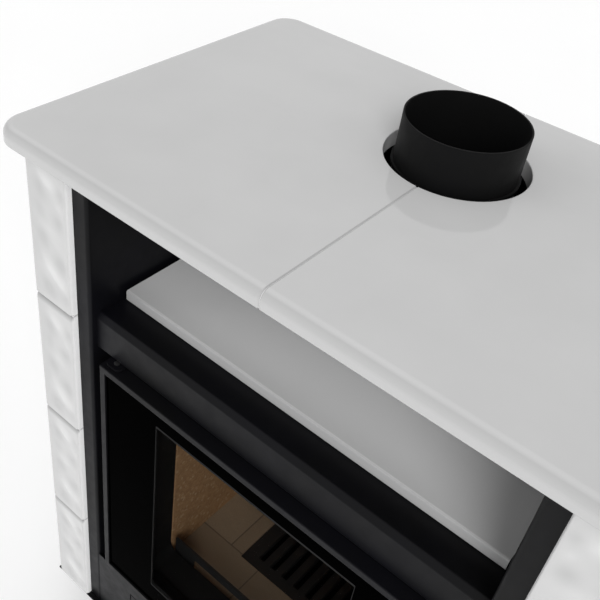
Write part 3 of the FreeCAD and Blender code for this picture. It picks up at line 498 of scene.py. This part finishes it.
# One finish for each slot, and a few more for single pieces
FINISH = {
    # The plates' glaze has painted light on the wall of the flue hole
    "top_glaze": glaze_material("top_glaze_skin", base=grey(0.52), cloud=grey(0.54), edge=0.74, upright=0.84,
                                pale=grey(0.78), painted_light_share=flue_wall),
    # The shelf's glaze has painted light towards its back and deeper painted shade over its front edge
    "shelf_glaze": glaze_material("shelf_glaze_skin", base=grey(0.52), cloud=grey(0.54), edge=0.62,
                                  upright=0.74, pale=grey(0.85), painted_light_share=shelf_depth),
    # The tiles' glaze has painted light on their inner ends
    "tile_glaze": tile_material("tile_glaze_skin", light=grey(0.58), dark=grey(0.42), end=grey(0.93)),
    "grout": grout_material("joint_grout", grey(0.62)),
    "black_steel": coated_material("black_coat", grey(0.0035), tint=(0.004, 0.004, 0.0055, 1),
                                   roughness=0.42, grain=0.0002),
    "heat_black": coated_material("heat_coat", grey(0.004), tint=(0.0045, 0.0045, 0.005, 1),
                                  roughness=0.6, grain=0.0003),
    # Lighter grey copy of the heat coat, for the firebox front
    "greyer_black": coated_material("greyer_coat", grey(0.013), tint=(0.014, 0.0135, 0.013, 1),
                                  roughness=0.7, grain=0.0003),
    "vermiculite": board_material("vermiculite_board", (0.51, 0.305, 0.152, 1), dark=(0.39, 0.23, 0.115, 1),
                                  flake=(0.62, 0.44, 0.255, 1)),
    "fire_brick": brick_material("fire_brick_face", (0.40, 0.31, 0.21, 1), dark=(0.30, 0.23, 0.16, 1),
                                 joint=(0.16, 0.13, 0.10, 1)),
    "cast_iron": iron_material("cast_iron_skin", grey(0.03)),
    "door_glass": glass_material("smoked_glass"),
    "glass_print": print_material("black_enamel", grey(0.0001)),
    "glass_line": print_material("grey_enamel", grey(0.013)),
    "sealing_tape": fibre_material("black_tape", grey(0.03)),
    "sealing_rope": fibre_material("grey_rope", grey(0.16)),
    "bare_steel": steel_material("brushed_steel", grey(0.55)),
}

# Nodes whose finish is a variant of their slot's
OWN_FINISH = {"niche_shelf": "shelf_glaze", "firebox_front": "greyer_black"}


# Mesh helpers
def piece(name, verts, faces, finish, body, slot, sharp=SHARP):
    """New smooth-shaded piece with a finish, which rides on a body. Its slot is not used."""
    mesh = bpy.data.meshes.new(name)
    mesh.from_pydata([tuple(v) for v in verts], [], faces)
    mesh.validate()
    mesh.shade_smooth()
    mesh.set_sharp_from_angle(angle=sharp)
    mesh.materials.append(FINISH[finish])
    made = bpy.data.objects.new(name, mesh)
    bpy.context.scene.collection.objects.link(made)
    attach(made, body)
    return made


def join(parts):
    """One list of points and one of faces from several."""
    verts = []
    faces = []
    for more_verts, more_faces in parts:
        first = len(verts)
        verts += more_verts
        faces += [tuple(first + i for i in face) for face in more_faces]
    return verts, faces


def spaced(length, start_r, end_r, step):
    """Stations along a length, close together over the rounded edge at each end."""
    turn = [math.pi / 2 * i / TILE_EDGE_STEPS for i in range(TILE_EDGE_STEPS)]
    start = [start_r * (1 - math.cos(a)) for a in turn]
    end = [length - end_r * (1 - math.cos(a)) for a in reversed(turn)]
    run = length - start_r - end_r
    count = max(1, round(run / step))
    return np.array(start + [start_r + run * i / count for i in range(count + 1)] + end)


def prism(outline, halves):
    """Closed bar across the middle: an outline in depth and height, anticlockwise seen from the right, with
    half the bar's width at each of its points."""
    count = len(outline)
    verts = [(side * half, y, z) for side in (-1, 1) for half, (y, z) in zip(halves, outline)]
    faces = [(i, (i + 1) % count, count + (i + 1) % count, count + i) for i in range(count)]
    faces += [tuple(reversed(range(count))), tuple(range(count, 2 * count))]
    return verts, faces


# Top plates
def plate_seal():
    """Pale bead in the gap between the two plates, in front of the flue hole and behind it."""
    low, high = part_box("top_plate_left")
    collar_low, collar_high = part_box("flue_collar")
    middle = (collar_low.y + collar_high.y) / 2
    reach = PLATE_EDGE_R - SEAL_SINK
    bars = []
    for side, outer in ((-1, low.y), (1, high.y)):
        edge = (outer - side * PLATE_EDGE_R, high.z - PLATE_EDGE_R)
        turns = [math.pi / 2 * i / SEAL_STEPS for i in range(SEAL_STEPS + 1)]
        outline = [(edge[0] + side * reach * math.cos(t), edge[1] + reach * math.sin(t)) for t in turns]
        inner = middle + side * (FLUE_HOLE_R + SEAL_SINK)
        outline += [(inner, high.z - SEAL_SINK), (inner, low.z + SEAL_SINK),
                    (outer - side * SEAL_SINK, low.z + SEAL_SINK)]
        bars.append(prism(outline[::side], [SEAL_HALF] * len(outline)))
    piece("plate_seal", *join(bars), "grout", "casing", "top_glaze")


# Tiles
class CornerPath:
    """Outline of a corner tile from its inner front end, round the corner and back along the side."""

    def __init__(self, low, high):
        self.low = low
        self.width = high.x - low.x
        self.front = self.width - TILE_CORNER_R
        self.bend = math.pi / 2 * TILE_CORNER_R
        self.length = self.front + self.bend + high.y - low.y - TILE_CORNER_R
        self.edges = (EDGE_END, EDGE_SIDE)

    def at(self, s):
        """Point of the outline and its outward direction."""
        low = self.low
        if s <= self.front:
            return (low.x + self.width - s, low.y), (0.0, -1.0)
        if s >= self.front + self.bend:
            return (low.x, low.y + TILE_CORNER_R + s - self.front - self.bend), (-1.0, 0.0)
        turn = (s - self.front) / TILE_CORNER_R
        out = (-math.sin(turn), -math.cos(turn))
        middle = (low.x + TILE_CORNER_R, low.y + TILE_CORNER_R)
        return (middle[0] + TILE_CORNER_R * out[0], middle[1] + TILE_CORNER_R * out[1]), out

    def mould(self, height):
        """Strokes of the front face, in this outline's own measure."""
        return [((self.width * (1 - share), height - drop), *stroke) for share, drop, *stroke in MOULD]


class SidePath:
    """Straight outline of a flat side tile, from front to back."""

    def __init__(self, low, high):
        self.low = low
        self.length = high.y - low.y
        self.front = 0.0
        self.bend = NO_BEND
        self.edges = (EDGE_SIDE, EDGE_SIDE)

    def at(self, s):
        """Point of the outline and its outward direction."""
        return (self.low.x, self.low.y + s), (-1.0, 0.0)

    def mould(self, height):
        """No strokes but the random ones."""
        return []


def drawn_strokes(draw, start, length, height, density, longs, wides, depth):
    """Random soft strokes on part of a face."""
    strokes = []
    for _ in range(round(density * (length - start) * height)):
        middle = draw.uniform((start, 0), (length, height))
        strokes.append((middle, draw.uniform(*longs), draw.uniform(*wides), depth * draw.uniform(-1, 1)))
    return strokes


def from_bend(path, s):
    """Distance along an outline from its bend."""
    return np.abs(s - path.front - path.bend / 2) - path.bend / 2


def relief(path, across, up, mould_seed, own_seed):
    """Worked face: the mould's slanting ridges and hollows, then fine touches of its own."""
    mould_draw = np.random.default_rng(mould_seed)
    own_draw = np.random.default_rng(own_seed)
    height = up[-1]
    s, v = np.meshgrid(across, up, indexing="ij")
    strokes = path.mould(height)
    strokes += drawn_strokes(mould_draw, path.front, path.length, height, *STROKES)
    strokes += drawn_strokes(own_draw, 0.0, path.length, height, *TOUCHES)
    total = np.zeros_like(s)
    for middle, long, wide, push in strokes:
        tilt = STROKE_TILT + own_draw.normal(0, STROKE_SPREAD)
        along = (s - middle[0]) * math.cos(tilt) + (v - middle[1]) * math.sin(tilt)
        beside = (v - middle[1]) * math.cos(tilt) - (s - middle[0]) * math.sin(tilt)
        total += push * np.exp(-0.5 * ((along / long) ** 2 + (beside / wide) ** 2))
    inset = np.minimum(np.minimum(s, path.length - s), np.minimum(v, height - v))
    rim = RIM_SHARE + (1 - RIM_SHARE) * np.clip(inset / RIM_D, 0, 1)
    corner = np.clip(from_bend(path, s) / CORNER_D, CORNER_SHARE, 1)
    return np.clip(total * (rim * corner), -RELIEF_MOST, RELIEF_MOST)


def painted_shade_depth(path, across, worked):
    """Relief that the painted shade and highlight follow: the worked face, lowered round the corner for
    painted shade there.
    """
    # Painted shade round the corner
    thin = np.clip(1 - from_bend(path, across) / CORNER_SHADE_D, 0, 1)
    return worked - CORNER_SHADE * thin[:, None]


def edge_drop(path, across, up):
    """How far the face falls away over its rounded edges."""
    s, v = np.meshgrid(across, up, indexing="ij")
    start_r, end_r = path.edges
    near_s = np.maximum(1 - s / start_r, 1 - (path.length - s) / end_r)
    near_v = np.maximum(1 - v / EDGE_FOOT, 1 - (up[-1] - v) / EDGE_TOP)
    far = np.clip(near_s, 0, 1) ** 2 + np.clip(near_v, 0, 1) ** 2
    return TILE_EDGE_D * (1 - np.sqrt(1 - np.minimum(far, 1)))


def tile(node, path, low_z, high_z, thick, side, seeds):
    """Closed tile: worked face, four walls and a plain back. Built on the left, mirrored for the right."""
    across = spaced(path.length, *path.edges, TILE_STEP)
    up = spaced(high_z - low_z, EDGE_FOOT, EDGE_TOP, TILE_STEP)
    worked = relief(path, across, up, *seeds)
    lift = worked - edge_drop(path, across, up)
    columns = len(across)
    rows = len(up)
    verts = []
    for i, s in enumerate(across):
        spot, out = path.at(s)
        for j, v in enumerate(up):
            verts.append((side * (spot[0] + out[0] * lift[i, j]), spot[1] + out[1] * lift[i, j], low_z + v))
    for s in across:
        spot, out = path.at(s)
        for z in (low_z, high_z):
            verts.append((side * (spot[0] - out[0] * thick), spot[1] - out[1] * thick, z))

    def face(i, j):
        return i * rows + j

    def back(i, j):
        return columns * rows + 2 * i + j

    faces = [(face(i, j), face(i, j + 1), face(i + 1, j + 1), face(i + 1, j))
             for i in range(columns - 1) for j in range(rows - 1)]
    for i in range(columns - 1):
        faces.append((back(i, 0), back(i + 1, 0), back(i + 1, 1), back(i, 1)))
        faces.append((face(i, 0), face(i + 1, 0), back(i + 1, 0), back(i, 0)))
        faces.append((face(i + 1, rows - 1), face(i, rows - 1), back(i, 1), back(i + 1, 1)))
    for i, order in ((0, -1), (columns - 1, 1)):
        rim = [face(i, j) for j in range(rows)] + [back(i, 1), back(i, 0)]
        faces.append(tuple(rim[::order]))
    if side < 0:
        faces = [f[::-1] for f in faces]
    made = piece(node + "_worked", verts, faces, "tile_glaze", "casing", "tile_glaze")
    depth = painted_shade_depth(path, across, worked)
    # Share of painted shade along the top edge
    top = np.clip(1 - (up[-1] - up) / EDGE_TOP, 0, 1) * np.ones((columns, 1))
    # Share of painted light on the inner end
    end = np.clip(1 - across / path.edges[0], 0, 1)[:, None] ** END_LIGHT_FADE * np.ones(rows)
    for kind, front, behind in (("relief", depth, RELIEF_MOST), ("edge", top, 0.0), ("end", end, 1.0)):
        values = np.concatenate([front.ravel(), np.full(2 * columns, behind)]).astype(np.float32)
        made.data.attributes.new(kind, "FLOAT", "POINT").data.foreach_set("value", values)
    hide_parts(node)


def mirrored_box(node, side):
    """Box of a node, brought to the left side."""
    low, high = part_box(node)
    if side > 0:
        return low, high
    return Vector((-high.x, low.y, low.z)), Vector((-low.x, high.y, high.z))


def tile_thickness():
    low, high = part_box("side_tile_left_1")
    return high.x - low.x


def tiles():
    """The sixteen tiles, from one mould for each kind and with touches of their own."""
    thick = tile_thickness()
    own_seed = TOUCH_SEED
    for name, side in SIDES:
        for row in range(1, TILE_ROWS + 1):
            for mould_seed, (kind, outline) in enumerate((("corner", CornerPath), ("side", SidePath))):
                node = f"{kind}_tile_{name}_{row}"
                low, high = mirrored_box(node, side)
                own_seed += 1
                tile(node, outline(low, high), low.z, high.z, thick, side, (mould_seed, own_seed))


def strip(stations, path, side, near, far, low_z, high_z):
    """Closed bar along an outline, between two depths and two heights."""
    verts = []
    for s in stations:
        spot, out = path.at(s)
        for depth, z in ((near, low_z), (near, high_z), (far, high_z), (far, low_z)):
            verts.append((side * (spot[0] - out[0] * depth), spot[1] - out[1] * depth, z))
    faces = []
    for i in range(len(stations) - 1):
        a = 4 * i
        faces += [(a + k, a + (k + 1) % 4, a + 4 + (k + 1) % 4, a + 4 + k) for k in range(4)]
    last = 4 * (len(stations) - 1)
    faces += [(3, 2, 1, 0), (last, last + 1, last + 2, last + 3)]
    if side < 0:
        faces = [f[::-1] for f in faces]
    return verts, faces


def joints():
    """Grout between the tiles of each side, set back from their faces."""
    thick = tile_thickness()
    for name, side in SIDES:
        corners = [mirrored_box(f"corner_tile_{name}_{row}", side) for row in range(1, TILE_ROWS + 1)]
        low, high = mirrored_box(f"side_tile_{name}_1", side)
        around = CornerPath(corners[0][0], Vector((corners[0][1].x, high.y, 0)))
        stations = np.linspace(0, around.length, round(around.length / (2 * TILE_STEP)))
        bars = [strip(stations, around, side, JOINT_SINK, thick, lower[1].z, upper[0].z)
                for upper, lower in zip(corners[:-1], corners[1:])]
        end = around.length - (high.y - low.y)
        upright = (end - (low.y - corners[0][1].y), end)
        bars.append(strip(upright, around, side, JOINT_SINK, thick, corners[-1][0].z, corners[0][1].z))
        piece(f"tile_joints_{name}", *join(bars), "grout", "casing", "tile_glaze")


# Door
def ring_points(x, z, radius):
    """Points of a rounded upright frame, anticlockwise seen from the front."""
    points = []
    corners = ((x[1] - radius, z[0] + radius), (x[1] - radius, z[1] - radius),
               (x[0] + radius, z[1] - radius), (x[0] + radius, z[0] + radius))
    for quarter, middle in enumerate(corners):
        for i in range(RING_STEPS + 1):
            turn = math.pi / 2 * (quarter - 1 + i / RING_STEPS)
            points.append((middle[0] + radius * math.cos(turn), middle[1] + radius * math.sin(turn)))
    return points


def flat_ring(outer, inner, y):
    """Closed flat frame between two loops of points."""
    count = len(outer)
    verts = [(x, level, z) for level in y for loop in (outer, inner) for x, z in loop]
    faces = []
    a, b, c, d = (k * count for k in range(4))
    for i in range(count):
        j = (i + 1) % count
        faces += [(a + i, a + j, b + j, b + i), (d + i, d + j, c + j, c + i),
                  (c + i, c + j, a + j, a + i), (b + i, b + j, d + j, d + i)]
    return verts, faces


def glass_print():
    """Black border fired on the glass and the fine grey line between it and the clear window."""
    low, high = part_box("door_glass")
    rim_low, rim_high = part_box("door_rim")
    loops = [ring_points((low.x, high.x), (low.z, high.z), PRINT_R)]
    for wide, tall in ((LINE_W, LINE_H), (0.0, 0.0)):
        loops.append(ring_points((-WINDOW_HALF - wide, WINDOW_HALF + wide),
                                 (rim_low.z + WINDOW_FOOT - tall, rim_high.z - WINDOW_HEAD + tall), WINDOW_R))
    y = (low.y - PRINT_T, low.y + PRINT_T)
    piece("glass_border", *flat_ring(loops[0], loops[1], y), "glass_print", "door", "door_glass")
    piece("glass_line", *flat_ring(loops[1], loops[2], y), "glass_line", "door", "door_glass")


def resampled(points, step):
    """Even stations along a closed line: their distances, places and directions, and its length."""
    closed = np.array(points + points[:1])
    run = np.concatenate([[0], np.cumsum(np.linalg.norm(np.diff(closed, axis=0), axis=1))])
    count = round(run[-1] / step)
    stations = np.arange(count) * run[-1] / count
    spots = np.stack([np.interp(stations, run, closed[:, k]) for k in (0, 1)], axis=1)
    ways = np.roll(spots, -1, axis=0) - np.roll(spots, 1, axis=0)
    return stations, spots, ways / np.linalg.norm(ways, axis=1)[:, None], run[-1]


def squared(share):
    """Sine or cosine of a round section, pushed out towards that of a square one."""
    return math.copysign(abs(share) ** ROPE_POWER, share)


def rope():
    """Braided sealing rope, squared to the door's channel."""
    low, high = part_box("door_gasket")
    half_y = (high.y - low.y) / 2
    middle_y = (low.y + high.y) / 2
    line = ring_points((low.x + ROPE_HALF_W, high.x - ROPE_HALF_W),
                       (low.z + ROPE_HALF_W, high.z - ROPE_HALF_W), ROPE_CORNER_R)
    stations, spots, ways, length = resampled(line, ROPE_STEP)
    twists = round(length / ROPE_TURN)
    verts = []
    for s, spot, way in zip(stations, spots, ways):
        phase = 2 * math.pi * twists * s / length
        for k in range(ROPE_SIDES):
            turn = 2 * math.pi * k / ROPE_SIDES
            over = abs(math.sin((ROPE_STRANDS * turn + phase) / 2))
            under = abs(math.sin((ROPE_STRANDS * turn - phase) / 2))
            inset = ROPE_GROOVE * (2 - over - under)
            out = (ROPE_HALF_W - inset) * squared(math.cos(turn))
            back = (half_y - inset) * squared(math.sin(turn))
            verts.append((spot[0] + way[1] * out, middle_y + back, spot[1] - way[0] * out))
    count = len(stations)

    def at(i, k):
        return i % count * ROPE_SIDES + k % ROPE_SIDES

    faces = [(at(i, k), at(i, k + 1), at(i + 1, k + 1), at(i + 1, k))
             for i in range(count) for k in range(ROPE_SIDES)]
    made = piece("door_rope", verts, faces, "sealing_rope", "door", "sealing_rope", sharp=math.pi)
    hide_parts("door_gasket")


# Back
def shell(outer, inner, flip):
    """Closed sheet between two grids of points."""
    count = outer.shape[0] * outer.shape[1]
    at = np.arange(count).reshape(outer.shape[:2])
    quads = np.stack([at[:-1, :-1], at[:-1, 1:], at[1:, 1:], at[1:, :-1]], axis=-1).reshape(-1, 4)
    rim = np.concatenate([at[0], at[1:, -1], at[-1, -2::-1], at[-2:0:-1, 0]])
    after = np.roll(rim, -1)
    walls = np.stack([after, rim, count + rim, count + after], axis=-1)
    faces = np.concatenate([quads, count + quads[:, ::-1], walls])
    verts = np.concatenate([outer.reshape(-1, 3), inner.reshape(-1, 3)])
    return verts.tolist(), (faces[:, ::-1] if flip else faces).tolist()


def hoods():
    """Pressed hoods over the slots of the back, open towards the middle."""
    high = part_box("back_panel")[1]
    half = VENT_H / 2 + HOOD_LAP
    across = np.linspace(0, 1, HOOD_STEPS + 1)
    ends = HOOD_END_R * (1 - np.cos(math.pi / 2 * across))
    along = np.concatenate([ends - half, (half - ends)[::-1]])
    inset = np.clip((half - np.abs(along)) / HOOD_END_R, 0, 1)
    rise = HOOD_RISE * np.outer(np.sin(math.pi / 2 * across), np.sqrt(1 - (1 - inset) ** 2))
    u, v = np.meshgrid(HOOD_W * (across - 0.5), along, indexing="ij")
    made = []
    for row in range(VENT_ROWS):
        z = high.z - VENT_DROP - VENT_H / 2 - row * (VENT_H + VENT_DROP)
        for i in range(VENT_COUNT):
            x = (i - (VENT_COUNT - 1) / 2) * VENT_PITCH
            side = -math.copysign(1, x)
            outer = np.stack([x + side * u, high.y + rise, z + v], axis=-1)
            made.append(shell(outer, outer - (0, HOOD_T, 0), side < 0))
    piece("back_hoods", *join(made), "black_steel", "casing", "black_steel")


def spigot_slats():
    """Slats across the bore of the air spigot, sloping down inwards."""
    low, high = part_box("air_spigot")
    middle = (low + high) / 2
    bars = []
    for k in range(SLAT_COUNT):
        rise = (k - (SLAT_COUNT - 1) / 2) * SLAT_PITCH
        corners = [(end * SLAT_D / 2, rise + end * SLAT_D / 2 + face * SLAT_T / 2)
                   for end, face in ((-1, -1), (1, -1), (1, 1), (-1, 1))]
        halves = [math.sqrt(SPIGOT_BORE_R ** 2 - z ** 2) for y, z in corners]
        bars.append(prism([(middle.y + y, middle.z + z) for y, z in corners], halves))
    piece("spigot_slats", *join(bars), "heat_black", "casing", "heat_black")


# Fasteners
def turned(profile, at, axis, socket_from):
    """Closed turned part. Its rings from the given one on are hexagons, for a key."""
    out = Vector(axis)
    across = out.orthogonal().normalized()
    beside = out.cross(across)
    verts = []
    for index, (radius, height) in enumerate(profile):
        for k in range(SCREW_SIDES):
            turn = 2 * math.pi * k / SCREW_SIDES
            reach = radius
            if index >= socket_from:
                reach = radius * math.cos(math.pi / 6) / math.cos(turn % (math.pi / 3) - math.pi / 6)
            spot = Vector(at) + out * height + (across * math.cos(turn) + beside * math.sin(turn)) * reach
            verts.append(tuple(spot))

    def ring(i, k):
        return i * SCREW_SIDES + k % SCREW_SIDES

    last = len(profile) - 1
    faces = [(ring(i, k), ring(i, k + 1), ring(i + 1, k + 1), ring(i + 1, k))
             for i in range(last) for k in range(SCREW_SIDES)]
    faces.append(tuple(ring(0, k) for k in reversed(range(SCREW_SIDES))))
    faces.append(tuple(ring(last, k) for k in range(SCREW_SIDES)))
    return verts, faces


def screws(name, spots, axis, slot, body="casing", size=1.0):
    """One piece with a button-head screw seated at each spot."""
    profile = [(SCREW_R * size * r, SCREW_H * size * h) for r, h in SCREW_HEAD]
    made = [turned(profile, at, axis, SOCKET_RING) for at in spots]
    piece(name, *join(made), slot, body, slot, SCREW_SHARP)


def fasteners():
    """Screws of the back, the air spigot, the door's inner plate and the lever."""
    low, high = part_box("back_panel")
    edge = high.x - BACK_SCREW_INSET
    heights = [low.z + (high.z - low.z) * share for share in BACK_SCREW_HEIGHTS]
    spots = [(side * edge, high.y, z) for side in (-1, 1) for z in heights]
    spots += [(share * edge, high.y, heights[-1]) for share in BACK_TOP_SCREWS]
    screws("back_screws", spots, BACKWARDS, "black_steel")

    low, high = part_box("air_spigot")
    middle = (low + high) / 2
    reach = (high.x - low.x) / 2 - FLANGE_SCREW_INSET
    # The flange is as thick as the sheets of the casing
    sheet_low, sheet_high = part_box("side_panel_left")
    face = low.y + sheet_high.x - sheet_low.x
    turns = [2 * math.pi * (k + 0.5) / FLANGE_SCREWS for k in range(FLANGE_SCREWS)]
    spots = [(middle.x + reach * math.cos(t), face, middle.z + reach * math.sin(t)) for t in turns]
    screws("spigot_screws", spots, BACKWARDS, "bare_steel")

    low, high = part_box("door_panel")
    face = low.y + DOOR_PLATE_T
    heights = [low.z + (high.z - low.z) * share for share in DOOR_SCREW_HEIGHTS]
    spots = [(side * DOOR_SCREW_X, face, z) for side in (-1, 1) for z in heights]
    spots += [(share * DOOR_SCREW_X, face, low.z + DOOR_SCREW_LIFT) for share in DOOR_FOOT_SCREWS]
    screws("door_screws", spots, BACKWARDS, "bare_steel", "door")

    turn = next(j for j in frame["record"]["behaviour"]["joints"] if j["name"] == "latch_turn")
    at = (turn["pos_m"][0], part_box("latch_lever")[0].y, turn["pos_m"][2])
    screws("lever_screw", [at], FORWARDS, "bare_steel", "latch", LEVER_SCREW_SIZE)


# Stage
def floor():
    verts = [(x * FLOOR_HALF, y * FLOOR_HALF, 0.0) for x, y in ((-1, -1), (1, -1), (1, 1), (-1, 1))]
    mesh = bpy.data.meshes.new("floor")
    mesh.from_pydata(verts, [], [(0, 1, 2, 3)])
    mesh.materials.append(floor_material("pale_floor"))
    made = bpy.data.objects.new("floor", mesh)
    bpy.context.scene.collection.objects.link(made)


def far_light(name, turn, lift, power):
    """Wide soft light from far away, placed by its turn to the right and its lift. Casts no glints."""
    data = bpy.data.lights.new(name, "SUN")
    data.energy = power
    data.angle = LIGHT_SPREAD
    made = bpy.data.objects.new(name, data)
    away = Vector((math.sin(turn) * math.cos(lift), -math.cos(turn) * math.cos(lift), math.sin(lift)))
    made.rotation_euler = (-away).to_track_quat("-Z", "Y").to_euler()
    made.visible_glossy = False
    bpy.context.scene.collection.objects.link(made)


def studio():
    """Pale floor, white surround that dims upwards from the horizon and two wide soft lights."""
    floor()
    world = bpy.data.worlds.new("surround")
    world.use_nodes = True
    tree = world.node_tree
    height = component(tree, coordinate(tree, "Generated"), "Z")
    above = spread(tree, height, (SKY_LOW_AT, SKY_HIGH_AT))
    sky = blend(tree, above, grey(SKY_LOW), grey(SKY_HIGH))
    sky = blend(tree, spread(tree, height, (0.0, SKY_LOW_AT)), grey(SKY_HORIZON), sky)
    feed(tree, tree.nodes["Background"].inputs["Color"], sky)
    bpy.context.scene.world = world
    far_light("key_light", *KEY_LIGHT)
    far_light("fill_light", *FILL_LIGHT)
    bpy.context.scene.view_settings.view_transform = "Standard"


def camera():
    """Camera near the photograph's place, turned, tipped and rolled much as there."""
    ahead = Vector((-math.sin(CAMERA_TURN) * math.cos(CAMERA_DOWN),
                    math.cos(CAMERA_TURN) * math.cos(CAMERA_DOWN), -math.sin(CAMERA_DOWN)))
    right = ahead.cross(Vector((0, 0, 1))).normalized()
    up = right.cross(ahead)
    across = right * math.cos(CAMERA_ROLL) + up * math.sin(CAMERA_ROLL)
    above = up * math.cos(CAMERA_ROLL) - right * math.sin(CAMERA_ROLL)
    data = bpy.data.cameras.new("camera")
    data.sensor_width = SENSOR_MM
    data.lens = FOCAL_PX / IMAGE_PX * SENSOR_MM
    data.shift_x, data.shift_y = CAMERA_SHIFT
    made = bpy.data.objects.new("camera", data)
    turn = Matrix((across, above, -ahead)).transposed().to_4x4()
    made.matrix_world = Matrix.Translation(CAMERA_AT) @ turn
    bpy.context.scene.collection.objects.link(made)
    bpy.context.scene.camera = made


def dress_nodes():
    """Gives each CAD node the finish of its slot, or a variant of it."""
    for part in frame["record"]["subparts"]:
        finish = OWN_FINISH.get(part["node"], part["material_slot"])
        materials = frame["nodes"][part["node"]].data.materials
        materials.clear()
        materials.append(FINISH[finish])


dress_nodes()
plate_seal()
tiles()
joints()
glass_print()
rope()
hoods()
spigot_slats()
fasteners()
studio()
camera()
